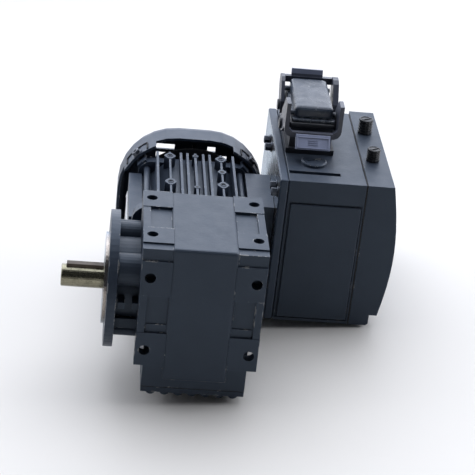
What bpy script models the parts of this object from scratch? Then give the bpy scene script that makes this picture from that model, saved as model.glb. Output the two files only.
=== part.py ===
"""Right-angle gearmotor with a flange-mounted keyed output shaft, a finned motor and an electronics box.

Frame: +Z up, +Y along the motor away from the output side, the output shaft points along -X.
The origin is the centre of the output shaft's end face. Sizes below are in millimetres.
"""
import math

import bmesh
import bpy
from mathutils import Matrix

MM = 0.001
GAP = 0.3                                   # clearance between touching pieces
BEYOND = 5.0                                # how far a cutter runs past the face that it opens

# Output side
SHAFT_R, SHAFT_LEN = 10.0, 40.0
CORE_R, CORE_END, SHAFT_END = 12.4, 142.0, 167.0    # the thicker shaft inside, and both its ends
KEY_W, KEY_H, KEY_LEN, KEY_X = 6.0, 6.0, 32.0, 4.5
KEY_DEPTH = 3.5
FLANGE_R, FLANGE_T = 60.0, 8.0
FLANGE_HOLE_R, FLANGE_PITCH_R = 3.5, 50.0
SPIGOT_R, SPIGOT_H = 40.0, 3.0
FLANGE_X = SHAFT_LEN                        # mounting face of the flange

# Gear unit
GEAR_X = 120.0                              # middle of the housing along the output shaft
HALF_W, LOWER_HALF, CENTRE_HALF = 53.0, 45.0, 28.0  # upper part, lower part and raised centre field
TOP_Z, FRONT_Y, BACK_Y = 63.5, -61.0, 46.0
SHELF_Z, BODY_Z0, FLOOR_Z = -19.0, -72.0, -83.0
PAD_IN, PAD_Z = 27.0, 50.0                  # inner side of the corner pads, and where the top ones start
TOP_RECESS, FRONT_RECESS, BACK_RAISE = 2.6, 3.0, 3.0
CAVITY_HALF, CAVITY_Y, CAVITY_TOP = 38.0, (-52.0, 41.0), 52.0
HUB_R, HUB_BOLT = 37.0, 32.5                # hub, and its screws both ways from the axis
HUB_BOSS_R, HUB_FOOT_R = 8.0, 5.0           # bosses around the upper and the lower screws
FOOT_X, FOOT_R = 45.0, 4.8                  # foot holes from the middle, and their radius
FOOT_Y = (-35.0, 35.0)
FOOT_Z = (-35.0, 35.0)
GASKET_T = 0.8
RIB_R, RIB_PITCH, RIBS = 4.5, 12.0, 7
SEAL_R, BEARING_R = 20.0, 26.0
CAP_R, CAP_T = 32.0, 4.0

# Gear pair
PINION_TEETH, WHEEL_TEETH = 8, 34
PINION_Y, PINION_BORE = (30.5, 42.0), 3.0
WHEEL_R, WHEEL_RING, WHEEL_BORE = 39.0, 29.5, 12.7
TOOTH_TIP, TOOTH_ROOT = 6.7, 10.4           # wheel tooth levels from the pinion's axis
DISC_T, BOSS_R, BOSS_T = 12.0, 20.0, 16.0

# Motor
MOTOR_X, MOTOR_Z = 117.0, -11.0
AXIS = (MOTOR_X, MOTOR_Z)
FRONT_PLATE = (49.3, 60.0)
STATOR = (60.3, 158.0)
END_SHIELD = (158.3, 168.0)
CORE_Y = (76.0, 134.0)                      # the laminated cores of the stator and the rotor
FIN_TIP, FIN_BASE, FIN_HALF, THIN_HALF = 63.7, 54.0, 1.1, 0.9
SIDE_TIP, CORNER_SUM = 60.0, 80.0           # side fins are lower; the core's corners are cut at 45 degrees
ROD, ROD_R, ROD_HOLE_R, ROD_HEAD_R = 44.0, 3.0, 3.4, 5.0    # tie rods from the axis, both ways
ROD_Y = (55.0, 173.0)
STATOR_R, ROTOR_R, MOTOR_SHAFT_R, MOTOR_BEARING_R = 45.0, 26.0, 8.0, 17.0
BOSS_TOP = FIN_TIP + 0.3                    # pads on the fins stand just proud of them
DIAMOND = [(5.2, 1.2), (1.4, 6.4), (-1.4, 6.4), (-5.2, 1.2),
           (-5.2, -1.2), (-1.4, -6.4), (1.4, -6.4), (5.2, -1.2)]
# Pads on the fins: across from the axis, along the motor, scale
PADS = ((-24, 93, 1.0), (-24, 149, 1.0), (24, 93, 1.0), (24, 121, 0.75), (24, 149, 1.0))
LUGS_Y = (85.0, 152.0)
SIDE_IN = 48.5                              # inner face of both side blocks, inside the finned core
LABEL_SIDE = -60.6                          # outer face of the block that carries the rating plate
COWL_HALF, COWL_ROUND, COWL_WALL = 70.0, 55.0, 2.5
COWL = (166.0, 214.0)
COWL_OPEN, COWL_STEP = 37.0, 11.0           # between its corner tabs the cowl starts further back
COWL_SCREW_Y, COWL_SCREW_TOP = 170.0, 80.2
SLOT_PITCH, SLOT_HALF, SLOT_ROWS, SLOT_REACH, SLOT_BAR = 9.0, 2.8, 5, 50.0, 3.0
FAN_Y, FAN_R, FAN_HUB_R, BLADES = (176.0, 196.0), 60.0, 14.0, 8

# Small screws
SCREW_R, SCREW_HOLE_R = 2.5, 2.8

# Electronics box
PLATE_X = (189.5, 197.5)
BODY_X = (197.8, 268.5)
COVER_EDGE = 293.0                          # outer side of the cover at its top and bottom
COVER_FOOT = 11.0                          # height of the step along its lower edge
BULGE, BULGE_Z, BULGE_SPAN = 9.5, 4.0, 150.0
BOX_Y = (68.0, 233.0)
BOX_Z = (-70.0, 74.0)
BOX_WALL = 4.5
PANEL_X, PANEL_Z = (201.2, 266.2), (-66.0, 51.0)    # raised panel on the front side
GROOVE_X, GROOVE_Y, GROOVE_DEPTH = (199.0, 246.0), (84.0, 90.0), 2.8
CABLE_HOLE, CABLE_R = (116.0, -6.0), 12.0   # passage from the motor into the box
PLATE_SCREWS = ((76, 58), (90, 58), (167, 61.5), (184, 61.5))
PLATE_SCREW_HEAD = (4.6, 6.0)               # radius and height
PLUG, PLUG_R, PLUG_STEM_R = (223.2, 109.0), 11.8, 8.0
KNOBS = ((279.5, 188.3, 6.9, 15.0), (279.8, 124.4, 6.3, 12.6))  # x, y, radius, height
BOARD_X, BOARD_Y, BOARD_Z = (212.0, 213.6), (80.0, 222.0), (-58.0, 50.0)
BLOCK_Y, BLOCK_Z = (90.0, 160.0), (-40.0, -22.0)

# Connector on the box
CONN_X = 220.5
CONN_HALF = 21.5
CONN_Y = (130.0, 212.0)
RIM_Z, HOOD_Z = 104.0, 118.0
HOOD_SHIFT, HOOD_HALF = 1.0, 17.8
PEG_R, PEG_REACH, PEGS_Y = 2.4, 21.6, (142.0, 200.0)
# Lever arms from the connector's middle: left arm and right arm, each from its lower to its higher x
FRONT_ARMS = ((-27.0, -23.2), (22.0, 25.8))
REAR_ARMS = ((-25.4, -22.0), (24.4, 29.8))
FRONT_PIVOT = (148.0, 95.0)
REAR_PIVOT = (193.0, 95.0)
PIN_R = 3.0

GREY = (0.115, 0.135, 0.17)
DARK = (0.03, 0.033, 0.04)
STEEL = (0.55, 0.54, 0.52)
GEAR_STEEL = (0.35, 0.34, 0.33)
PALE_PLASTIC = (0.5, 0.5, 0.48)


# ---------------------------------------------------------------- helpers
def clear_scene():
    for item in list(bpy.data.objects):
        bpy.data.objects.remove(item, do_unlink=True)


def make_collection(name):
    group = bpy.data.collections.new(name)
    bpy.context.scene.collection.children.link(group)
    return group


def material(name, colour, roughness, metallic):
    mat = bpy.data.materials.new(name)
    mat.use_nodes = True
    shader = mat.node_tree.nodes["Principled BSDF"]
    shader.inputs["Base Color"].default_value = (*colour, 1.0)
    shader.inputs["Roughness"].default_value = roughness
    shader.inputs["Metallic"].default_value = metallic
    return mat


def put_in(item, group):
    for old in list(item.users_collection):
        old.objects.unlink(item)
    group.objects.link(item)
    return item


def as_part(item, name, colour=GREY, roughness=0.5, metallic=0.0):
    """Name a finished shape, give it its own material and file it with the parts."""
    item.name = name
    item.data.name = name
    item.data.materials.clear()
    item.data.materials.append(material(name, colour, roughness, metallic))
    if not item.modifiers:                  # a Boolean's new edges would be shaded soft
        item.data.shade_smooth()
        item.data.set_sharp_from_angle(angle=math.radians(40))
    return put_in(item, parts)


def as_cutter(item):
    item.hide_render = True
    item.display_type = "WIRE"
    return put_in(item, cutters)


def about(middle, half):
    """The span that reaches half to either side of a middle."""
    return middle - half, middle + half


def box(x, y, z):
    """A box between two values on each axis, its scale applied."""
    bpy.ops.mesh.primitive_cube_add(size=1.0)
    item = bpy.context.active_object
    spans = (x, y, z)
    size = Matrix.Diagonal([(hi - lo) * MM for lo, hi in spans] + [1.0])
    item.data.transform(size)
    item.location = [(lo + hi) / 2 * MM for lo, hi in spans]
    return item


TURN = {"X": Matrix.Rotation(math.pi / 2, 4, "Y"), "Y": Matrix.Rotation(-math.pi / 2, 4, "X"),
        "Z": Matrix.Identity(4)}


def rod(axis, centre, radius, start, end, sides=32):
    """A cylinder along an axis from start to end; centre gives the other two coordinates."""
    bpy.ops.mesh.primitive_cylinder_add(vertices=sides, radius=radius * MM, depth=(end - start) * MM)
    item = bpy.context.active_object
    item.data.transform(TURN[axis])
    middle = (start + end) / 2
    place = {"X": (middle, *centre), "Y": (centre[0], middle, centre[1]), "Z": (*centre, middle)}[axis]
    item.location = [value * MM for value in place]
    return item


def turned(axis, centre, profile, steps=40):
    """A turned solid: profile points are (radius, position along the axis) down the outer side."""
    mesh = bpy.data.meshes.new("profile")
    outline = bmesh.new()
    corners = [outline.verts.new((radius * MM, 0.0, height * MM)) for radius, height in profile]
    for first, second in zip(corners, corners[1:]):
        outline.edges.new((first, second))
    outline.to_mesh(mesh)
    outline.free()
    item = bpy.data.objects.new("turned", mesh)
    bpy.context.scene.collection.objects.link(item)
    screw = item.modifiers.new("Turn", "SCREW")
    screw.steps = screw.render_steps = steps
    screw.use_merge_vertices = True
    screw.merge_threshold = 0.00001
    bpy.context.view_layer.update()
    solid = bpy.data.meshes.new_from_object(item.evaluated_get(bpy.context.evaluated_depsgraph_get()))
    bpy.data.objects.remove(item)
    fix_normals(solid)
    solid.transform(TURN[axis])
    item = bpy.data.objects.new("turned", solid)
    bpy.context.scene.collection.objects.link(item)
    place = {"X": (0.0, *centre), "Y": (centre[0], 0.0, centre[1]), "Z": (*centre, 0.0)}[axis]
    item.location = [value * MM for value in place]
    return item


def fix_normals(mesh):
    """Weld a generated mesh, turn its faces outward and merge the flat triangles of its caps."""
    work = bmesh.new()
    work.from_mesh(mesh)
    bmesh.ops.remove_doubles(work, verts=work.verts, dist=0.000005)
    bmesh.ops.dissolve_limit(work, angle_limit=0.001, verts=work.verts, edges=work.edges)
    bmesh.ops.recalc_face_normals(work, faces=work.faces)
    work.to_mesh(mesh)
    work.free()


def plate(axis, outline, start, end):
    """A flat outline extruded along an axis. Outline pairs are (y, z), (x, z) or (x, y)."""
    curve = bpy.data.curves.new("outline", "CURVE")
    curve.dimensions = "2D"
    curve.fill_mode = "BOTH"
    curve.extrude = (end - start) / 2 * MM
    line = curve.splines.new("POLY")
    line.points.add(len(outline) - 1)
    for point, (across, up) in zip(line.points, outline):
        point.co = (across * MM, up * MM, 0.0, 1.0)
    line.use_cyclic_u = True
    drawn = bpy.data.objects.new("outline", curve)
    bpy.context.scene.collection.objects.link(drawn)
    bpy.context.view_layer.update()
    solid = bpy.data.meshes.new_from_object(drawn.evaluated_get(bpy.context.evaluated_depsgraph_get()))
    bpy.data.objects.remove(drawn)
    swap = {"X": Matrix(((0, 0, 1, 0), (1, 0, 0, 0), (0, 1, 0, 0), (0, 0, 0, 1))),
            "Y": Matrix(((1, 0, 0, 0), (0, 0, 1, 0), (0, 1, 0, 0), (0, 0, 0, 1))),
            "Z": Matrix.Identity(4)}[axis]
    solid.transform(swap)
    fix_normals(solid)
    item = bpy.data.objects.new("plate", solid)
    bpy.context.scene.collection.objects.link(item)
    index = "XYZ".index(axis)
    item.location[index] = (start + end) / 2 * MM
    return item


def gather(items):
    """Put several separate closed shapes into one mesh, to use as one cutter."""
    work = bmesh.new()
    for item in items:
        bpy.context.view_layer.update()
        mesh = item.data
        mesh.transform(item.matrix_world)
        work.from_mesh(mesh)
        bpy.data.objects.remove(item)
    mesh = bpy.data.meshes.new("gathered")
    work.to_mesh(mesh)
    work.free()
    item = bpy.data.objects.new("gathered", mesh)
    bpy.context.scene.collection.objects.link(item)
    return item


def combine(item, operation, others):
    for other in others:
        step = item.modifiers.new(operation.title(), "BOOLEAN")
        step.operation = operation
        step.solver = "EXACT"
        step.object = as_cutter(other)
    return item


def cut(item, *others):
    return combine(item, "DIFFERENCE", others)


def join(item, *others):
    return combine(item, "UNION", others)


def soften(item, width, segments=2):
    edge = item.modifiers.new("Edges", "BEVEL")
    edge.width = width * MM
    edge.segments = segments
    edge.limit_method = "ANGLE"
    edge.angle_limit = math.radians(40)
    return item


def hang(item, holder):
    """Parent a piece to an empty and keep it where it is."""
    bpy.context.view_layer.update()
    item.parent = holder
    item.matrix_parent_inverse = holder.matrix_world.inverted()
    return item


def pivot(name, place):
    holder = bpy.data.objects.new(name, None)
    holder.location = [value * MM for value in place]
    parts.objects.link(holder)
    bpy.context.view_layer.update()
    return holder


def rounded_square(centre, half, radius, per_corner=5):
    """Corner points of a rounded square."""
    points = []
    for quarter in range(4):
        base = quarter * math.pi / 2
        mid = (centre[0] + (half - radius) * (1, -1, -1, 1)[quarter],
               centre[1] + (half - radius) * (1, 1, -1, -1)[quarter])
        for step in range(per_corner + 1):
            angle = base + math.pi / 2 * step / per_corner
            points.append((mid[0] + radius * math.cos(angle), mid[1] + radius * math.sin(angle)))
    return points


def four_corners(reach):
    return [(reach * sx, reach * sy) for sx in (-1, 1) for sy in (-1, 1)]


# ---------------------------------------------------------------- gear unit
def ring(name, axis, centre, radii, start, end, colour=STEEL, roughness=0.3, metallic=0.9):
    """A plain ring; radii are its inner and outer radius."""
    inner, outer = radii
    profile = [(inner, end), (inner, start), (outer, start), (outer, end), (inner, end)]
    return as_part(turned(axis, centre, profile, 32), name, colour, roughness, metallic)


def foot_pads(side):
    """The raised corner pads and rim strips of one side of the gear housing."""
    pad = sorted((GEAR_X + side * PAD_IN, GEAR_X + side * HALF_W))
    rim = sorted((GEAR_X + side * 46.5, GEAR_X + side * (HALF_W - 0.2)))
    front, top = FRONT_Y + 11, (PAD_Z, TOP_Z)
    return [box(pad, (18, BACK_Y + BACK_RAISE), top),
            box(pad, (-50, -22), top),
            box(pad, (FRONT_Y + 1.5, -45), (PAD_Z - 2, TOP_Z - 1.5)),
            box(pad, (FRONT_Y, front), (18, PAD_Z + 1)),
            box(pad, (FRONT_Y, front - 1), (-50, -18)),
            box(rim, (-23, 19), (PAD_Z, TOP_Z - 0.5)),
            box(rim, (FRONT_Y + 0.5, front), (-19, 19))]


def hub_shapes(hub, left):
    """Bosses and ribs between the gear housing and the flange."""
    shapes = [rod("X", (0, 0), HUB_R, hub, left + 5, 48),
              box((hub, left + 18), (-36, 36), (-36, -20)),
              rod("X", (-33, 27), 14, hub + 0.2, left + 5.5, 28),
              rod("X", (28, 29), 12, hub + 0.4, left + 5.7, 28)]
    shapes += [box((x, x + 5.5), (-49, -30), (-3, 3)) for x in (50, 62)]
    for y, z in four_corners(HUB_BOLT):
        radius, reach = (HUB_BOSS_R, 5) if z > 0 else (HUB_FOOT_R, 19)
        shapes.append(rod("X", (y, z), radius, hub, left + reach, 16))
    return shapes


def housing_holes():
    """Foot holes in the top and front pads, and the screw holes behind the flange."""
    holes = []
    for x in about(GEAR_X, FOOT_X):
        holes += [rod("Z", (x, y), FOOT_R, TOP_Z - 11, TOP_Z + BEYOND, 20) for y in FOOT_Y]
        for z in FOOT_Z:
            depth = 10.5 if z < 0 else 9.5
            holes.append(rod("Y", (x, z), FOOT_R, FRONT_Y - BEYOND, FRONT_Y + depth, 20))
    holes += [rod("X", (y, z), SCREW_HOLE_R, FLANGE_X, FLANGE_X + 22, 12) for y, z in four_corners(HUB_BOLT)]
    return holes


def gear_housing():
    left, right = about(GEAR_X, HALF_W)
    hub = FLANGE_X + FLANGE_T + GAP
    item = box((left, right), (FRONT_Y + FRONT_RECESS, BACK_Y), (SHELF_Z, TOP_Z - TOP_RECESS))
    join(item, box(about(GEAR_X, LOWER_HALF), (FRONT_Y + 2, BACK_Y - 0.8), (BODY_Z0, SHELF_Z + 9)))
    centre = box(about(GEAR_X, CENTRE_HALF), (FRONT_Y, BACK_Y + BACK_RAISE), (BODY_Z0 + 8, TOP_Z))
    join(item, soften(centre, 2.5, 3))
    for side in (-1, 1):
        join(item, *foot_pads(side))
    join(item, *hub_shapes(hub, left))
    cut(item, box(about(GEAR_X, CAVITY_HALF), CAVITY_Y, (BODY_Z0 - BEYOND, CAVITY_TOP)))
    for start, end in ((FLANGE_X, left + 20), (right - 20, right + BEYOND)):
        cut(item, rod("X", (0, 0), BEARING_R + GAP, start, end, 48))
    cut(item, rod("Y", AXIS, BEARING_R, 30, BACK_Y + 10, 32))
    cut(item, gather(housing_holes()))
    as_part(item, "gear_housing")


def bottom_cover():
    width, depth = about(GEAR_X, LOWER_HALF), (FRONT_Y + 3, BACK_Y - 1)
    seal_top = BODY_Z0 - GAP
    seal = box(width, depth, (seal_top - GASKET_T, seal_top))
    cut(seal, box(about(GEAR_X, CAVITY_HALF), CAVITY_Y, (seal_top - BEYOND, seal_top + BEYOND)))
    as_part(seal, "bottom_gasket", DARK, 0.8)
    lid = box(width, depth, (FLOOR_Z + 5, seal_top - GASKET_T - GAP))
    for count in range(RIBS):
        x = GEAR_X + RIB_PITCH * (count - (RIBS - 1) / 2)
        join(lid, rod("Y", (x, FLOOR_Z + RIB_R), RIB_R, depth[0] + 4, depth[1] - 4, 16))
    as_part(lid, "bottom_cover")


def flange():
    face, back = FLANGE_X, FLANGE_X + FLANGE_T
    profile = [(SEAL_R + GAP, back), (SEAL_R + GAP, face - SPIGOT_H), (SPIGOT_R, face - SPIGOT_H),
               (SPIGOT_R, face), (FLANGE_R, face), (FLANGE_R, back), (SEAL_R + GAP, back)]
    item = turned("X", (0, 0), profile, 64)
    spots = four_corners(FLANGE_PITCH_R / math.sqrt(2))
    cut(item, gather([rod("X", spot, FLANGE_HOLE_R, face - BEYOND, back + BEYOND, 20) for spot in spots]))
    as_part(item, "output_flange", GREY, 0.45, 0.2)
    ring("shaft_seal", "X", (0, 0), (CORE_R + GAP, SEAL_R), back - 8, back - 1, DARK, 0.6, 0.0)


def end_cap():
    face = GEAR_X + HALF_W
    profile = [(0, face + CAP_T), (CAP_R, face + CAP_T), (CAP_R, face + GAP), (BEARING_R, face + GAP),
               (BEARING_R, face - CAP_T), (0, face - CAP_T)]
    as_part(turned("X", (0, 0), profile), "end_cap")


def output_shaft(holder):
    chamfer = 0.8
    shaft = turned("X", (0, 0), [(0, 0), (SHAFT_R - chamfer, 0), (SHAFT_R, chamfer), (SHAFT_R, SHAFT_LEN - 2),
                                 (CORE_R, SHAFT_LEN - 1), (CORE_R, CORE_END), (SHAFT_R, CORE_END),
                                 (SHAFT_R, SHAFT_END), (0, SHAFT_END)])
    bed, side = SHAFT_R - KEY_DEPTH, 0.2
    start, end = KEY_X, KEY_X + KEY_LEN
    cut(shaft, box((start - GAP, end + GAP), about(0, KEY_W / 2 + side), (bed, SHAFT_R + BEYOND)))
    hang(as_part(shaft, "output_shaft", (0.32, 0.31, 0.27), 0.35, 0.9), holder)
    key = box((start, end), about(0, KEY_W / 2), (bed + GAP, bed + GAP + KEY_H))
    hang(as_part(key, "shaft_key", STEEL, 0.35, 0.9), holder)


def crown_wheel(holder):
    tip, root = MOTOR_X + TOOTH_TIP, MOTOR_X + TOOTH_ROOT
    profile = [(WHEEL_BORE, tip + BOSS_T), (WHEEL_BORE, root + 2), (WHEEL_RING, root + 2), (WHEEL_RING, tip),
               (WHEEL_R, tip), (WHEEL_R, tip + DISC_T), (BOSS_R, tip + DISC_T), (BOSS_R, tip + BOSS_T),
               (WHEEL_BORE, tip + BOSS_T)]
    wheel = turned("X", (0, 0), profile, 48)
    cut(wheel, gather([tooth_groove(tooth) for tooth in range(WHEEL_TEETH)]))
    hang(as_part(wheel, "crown_wheel", GEAR_STEEL, 0.35, 0.9), holder)


def tooth_groove(index):
    """One straight groove of the crown wheel, level with the pinion's axis when the index is 0."""
    tip, root = MOTOR_X + TOOTH_TIP - 0.5, MOTOR_X + TOOTH_ROOT
    wide, narrow = 2.45, 1.6
    outline = [(tip, -wide), (root, -narrow), (root, narrow), (tip, wide)]
    groove = plate("Y", outline, WHEEL_RING - 2.3, WHEEL_R + 6)
    groove.data.transform(Matrix.Translation((0, groove.location[1], MOTOR_Z * MM)))
    groove.location = (0, 0, 0)
    groove.data.transform(Matrix.Rotation(index * 2 * math.pi / WHEEL_TEETH, 4, "X"))
    return groove


def pinion_outline():
    """Toothed outline of the pinion, one tooth towards +X: (radius, angle in degrees) from flank to flank."""
    shape = [(5.6, -15), (8.0, -8.6), (9.5, -3.6), (9.5, 3.6), (8.0, 8.6), (5.6, 15)]
    points = []
    for tooth in range(PINION_TEETH):
        for radius, degrees in shape:
            angle = math.radians(degrees) + tooth * 2 * math.pi / PINION_TEETH
            points.append((MOTOR_X + radius * math.cos(angle), MOTOR_Z + radius * math.sin(angle)))
    return points


# ---------------------------------------------------------------- motor
def motor_shaft(holder):
    """The motor shaft with the pinion on its thin nose, and the rotor core on its middle."""
    wide, neck, nose_end, back = MOTOR_SHAFT_R, 5.4, PINION_Y[0] + 0.5, 200
    profile = [(0, back), (wide, back), (wide, 48), (neck, 48), (neck, PINION_Y[1]),
               (PINION_BORE, PINION_Y[1]), (PINION_BORE, nose_end), (0, nose_end)]
    hang(as_part(turned("Y", AXIS, profile), "motor_shaft", STEEL, 0.3, 0.9), holder)
    gear = plate("Y", pinion_outline(), PINION_Y[0], PINION_Y[1] - GAP)
    cut(gear, rod("Y", AXIS, PINION_BORE + GAP, PINION_Y[0] - 10, PINION_Y[1] + 8, 16))
    hang(as_part(gear, "pinion", GEAR_STEEL, 0.35, 0.9), holder)
    core = ring("rotor_core", "Y", AXIS, (wide + GAP, ROTOR_R), *CORE_Y, (0.4, 0.4, 0.4), 0.4)
    hang(core, holder)


def fan(holder):
    front, back = FAN_Y
    bore, disc_t = MOTOR_SHAFT_R + GAP, 3.0
    item = turned("Y", AXIS, [(bore, back), (bore, front), (FAN_R, front), (FAN_R, front + disc_t),
                              (FAN_HUB_R, front + disc_t), (FAN_HUB_R, back), (bore, back)])
    blades = []
    for count in range(BLADES):
        blade = box((FAN_HUB_R - 3, FAN_R - 2), about(0, 1.2), (front + 1, back - 3))
        blade.data.transform(Matrix.Translation(blade.location))
        blade.data.transform(TURN["Y"] @ Matrix.Rotation(count * 2 * math.pi / BLADES, 4, "Z"))
        blade.location = (MOTOR_X * MM, 0, MOTOR_Z * MM)
        blades.append(blade)
    join(item, gather(blades))
    hang(as_part(item, "fan", DARK, 0.6), holder)


def housing_outline():
    """Cross-section of the motor housing: four sides of fins on an eight-sided core."""
    fins = [(0, FIN_HALF)]
    for offset, half in ((7.5, FIN_HALF), (13.5, FIN_HALF), (24, THIN_HALF), (35.5, FIN_HALF)):
        fins = [(-offset, half), *fins, (offset, half)]
    points = []
    for side in range(4):
        turn = side * math.pi / 2
        top = side % 2 == 0
        for offset, half in (fins if top else fins[::2]):
            for across, raised in ((offset - half, False), (offset - half, True),
                                   (offset + half, True), (offset + half, False)):
                height = min(FIN_BASE, CORNER_SUM - abs(across))
                if raised:
                    height = FIN_TIP if top else SIDE_TIP
                points.append((MOTOR_X + across * math.cos(turn) + height * math.sin(turn),
                               MOTOR_Z - across * math.sin(turn) + height * math.cos(turn)))
    return points


def fin_pads():
    """Diamond pads on two of the fins and small round ones on the middle fin."""
    bottom, top = MOTOR_Z + STATOR_R, MOTOR_Z + BOSS_TOP
    pads = []
    for x, y, scale in PADS:
        outline = [(MOTOR_X + x + across * scale, y + along * scale) for across, along in DIAMOND]
        pads.append(plate("Z", outline, bottom, top))
    pads += [rod("Z", (MOTOR_X, y), 2.9, bottom, top, 10) for y in LUGS_Y]
    return pads


def motor_housing():
    start, end = STATOR
    item = plate("Y", housing_outline(), start, end)
    join(item, box((MOTOR_X + SIDE_IN, PLATE_X[0] - GAP), (84, 154), (-50, 38)))
    join(item, box((MOTOR_X + LABEL_SIDE, MOTOR_X - SIDE_IN), (64, 156), (-45.4, 29)))
    join(item, gather(fin_pads()))
    cut(item, rod("Y", AXIS, STATOR_R + GAP, start - BEYOND, end + BEYOND, 48))
    cut(item, rod("X", CABLE_HOLE, CABLE_R, MOTOR_X + 30, PLATE_X[0] + BEYOND, 20))
    for step in item.modifiers:
        step.solver = "MANIFOLD"            # EXACT leaves open edges on the finned end faces
    as_part(item, "motor_housing", (0.16, 0.19, 0.24), 0.5, 0.1)


def stator():
    front, rear = CORE_Y
    ring("stator_core", "Y", AXIS, (ROTOR_R + 0.8, STATOR_R - GAP), front, rear, (0.3, 0.3, 0.3), 0.5)
    copper, length = (0.45, 0.16, 0.06), 10
    for name, start in (("winding_head_front", front - length), ("winding_head_rear", rear + GAP)):
        ring(name, "Y", AXIS, (28, 42), start, start + length - GAP, copper, 0.4, 0.5)


def rod_holes(start, end):
    spots = [(MOTOR_X + x, MOTOR_Z + z) for x, z in four_corners(ROD)]
    return gather([rod("Y", spot, ROD_HOLE_R, start, end, 12) for spot in spots])


def front_plate():
    start, end = FRONT_PLATE
    item = plate("Y", rounded_square(AXIS, 58, 14), start, end)
    cut(item, rod("Y", AXIS, MOTOR_BEARING_R + GAP, start - BEYOND, end + BEYOND, 32))
    cut(item, rod_holes(end - 6, end + BEYOND))
    as_part(item, "motor_front_plate")


def end_shield():
    start, end = END_SHIELD
    item = plate("Y", rounded_square(AXIS, 52, 12), start, end)
    arm = ((45, 70.4), (start + 1, end - 0.6), about(0, 5))
    ear = ((67.6, 70.8), (start + 1.5, 174), about(0, 4.6))
    for quarter in range(4):
        join(item, corner_piece(box(*arm), quarter), corner_piece(box(*ear), quarter))
    cut(item, rod("Y", AXIS, MOTOR_BEARING_R + GAP, start - BEYOND, end - 1.5, 32))
    cut(item, rod("Y", AXIS, MOTOR_SHAFT_R + 1, start, end + BEYOND, 32))
    cut(item, rod_holes(start - BEYOND, end + BEYOND))
    cut(item, gather([cowl_screw_hole(ear[0][0], quarter) for quarter in range(4)]))
    as_part(item, "rear_end_shield")


def corner_piece(item, quarter):
    """Turn a piece drawn outward along +X to one of the motor's four corners; a half more is a side."""
    item.data.transform(Matrix.Translation(item.location))
    item.data.transform(Matrix.Rotation(math.pi / 4 + quarter * math.pi / 2, 4, "Y"))
    item.location = (MOTOR_X * MM, 0, MOTOR_Z * MM)
    return item


def cowl_screw_hole(start, quarter):
    return corner_piece(rod("X", (COWL_SCREW_Y, 0), SCREW_HOLE_R, start, 90, 12), quarter)


def tie_rods():
    start, end = ROD_Y
    seat = END_SHIELD[1] + GAP
    profile = [(0, end), (ROD_HEAD_R, end), (ROD_HEAD_R, seat), (ROD_R, seat), (ROD_R, start), (0, start)]
    for number, (x, z) in enumerate(four_corners(ROD), 1):
        item = turned("Y", (MOTOR_X + x, MOTOR_Z + z), profile, 16)
        as_part(item, f"tie_rod_{number}", STEEL, 0.4, 0.8)


def rear_rounded(outline, start, end, rounding):
    """An extruded outline whose far edge is rounded."""
    item = plate("Y", outline, start, end)
    work = bmesh.new()
    work.from_mesh(item.data)
    far = max(corner.co.y for corner in work.verts) - 0.00001
    edges = [edge for edge in work.edges if all(corner.co.y > far for corner in edge.verts)
             and any(abs(face.normal.y) < 0.5 for face in edge.link_faces)]
    bmesh.ops.bevel(work, geom=edges, offset=rounding * MM, segments=4, profile=0.5, affect="EDGES")
    work.to_mesh(item.data)
    work.free()
    return item


def air_slots():
    """Rows of slots across the cowl's back, shorter away from the middle and split by a centre bar."""
    slots = []
    for row in range(-SLOT_ROWS, SLOT_ROWS + 1):
        height = row * SLOT_PITCH
        reach = math.sqrt(SLOT_REACH ** 2 - height ** 2)
        outer = abs(row) == SLOT_ROWS
        for low, high in (((-35, -17), (15, 23)) if outer else ((-reach, -SLOT_BAR), (SLOT_BAR, reach))):
            slots.append(box((MOTOR_X + low, MOTOR_X + high), (COWL[1] - 8, COWL[1] + BEYOND),
                             about(MOTOR_Z + height, SLOT_HALF)))
    return slots


def cowl():
    start, end = COWL
    item = rear_rounded(rounded_square(AXIS, COWL_HALF, COWL_ROUND, 7), start, end, 16)
    inner = rounded_square(AXIS, COWL_HALF - COWL_WALL, COWL_ROUND - COWL_WALL, 7)
    cut(item, rear_rounded(inner, start - BEYOND, end - COWL_WALL, 14))
    openings = [box((40, 90), (start - BEYOND, start + COWL_STEP), about(0, COWL_OPEN)) for side in range(4)]
    cut(item, gather([corner_piece(opening, side + 0.5) for side, opening in enumerate(openings)]))
    cut(item, gather(air_slots()))
    cut(item, gather([cowl_screw_hole(COWL_HALF, quarter) for quarter in range(4)]))
    as_part(item, "fan_cowl", (0.13, 0.155, 0.2), 0.45)
    top, seat, tip = COWL_SCREW_TOP, COWL_SCREW_TOP - 3.7, 68
    for quarter in range(4):
        screw = turned("X", (COWL_SCREW_Y, 0), [(0, top), (5, top), (5, seat), (SCREW_R, seat),
                                                (SCREW_R, tip), (0, tip)], 16)
        as_part(corner_piece(screw, quarter), f"cowl_screw_{quarter + 1}", STEEL, 0.4, 0.8)


# ---------------------------------------------------------------- electronics box
def box_plate():
    near, far = PLATE_X
    item = soften(box(PLATE_X, BOX_Y, BOX_Z), 1.5)
    cut(item, rod("X", CABLE_HOLE, CABLE_R, near - BEYOND, far + BEYOND, 20))
    holes = [rod("X", spot, SCREW_HOLE_R, near - BEYOND, far + BEYOND, 12) for spot in PLATE_SCREWS]
    cut(item, gather(holes))
    as_part(item, "box_plate")
    radius, height = PLATE_SCREW_HEAD
    seat, tip = near - GAP, far - 1
    profile = [(0, seat - height), (radius, seat - height), (radius, seat), (SCREW_R, seat),
               (SCREW_R, tip), (0, tip)]
    for number, spot in enumerate(PLATE_SCREWS, 1):
        as_part(turned("X", spot, profile, 16), f"plate_screw_{number}", STEEL, 0.4, 0.8)


def inside_walls():
    """The spans in y and z between the walls of the box."""
    return (BOX_Y[0] + BOX_WALL, BOX_Y[1] - BOX_WALL), (BOX_Z[0] + BOX_WALL, BOX_Z[1] - BOX_WALL)


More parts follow.
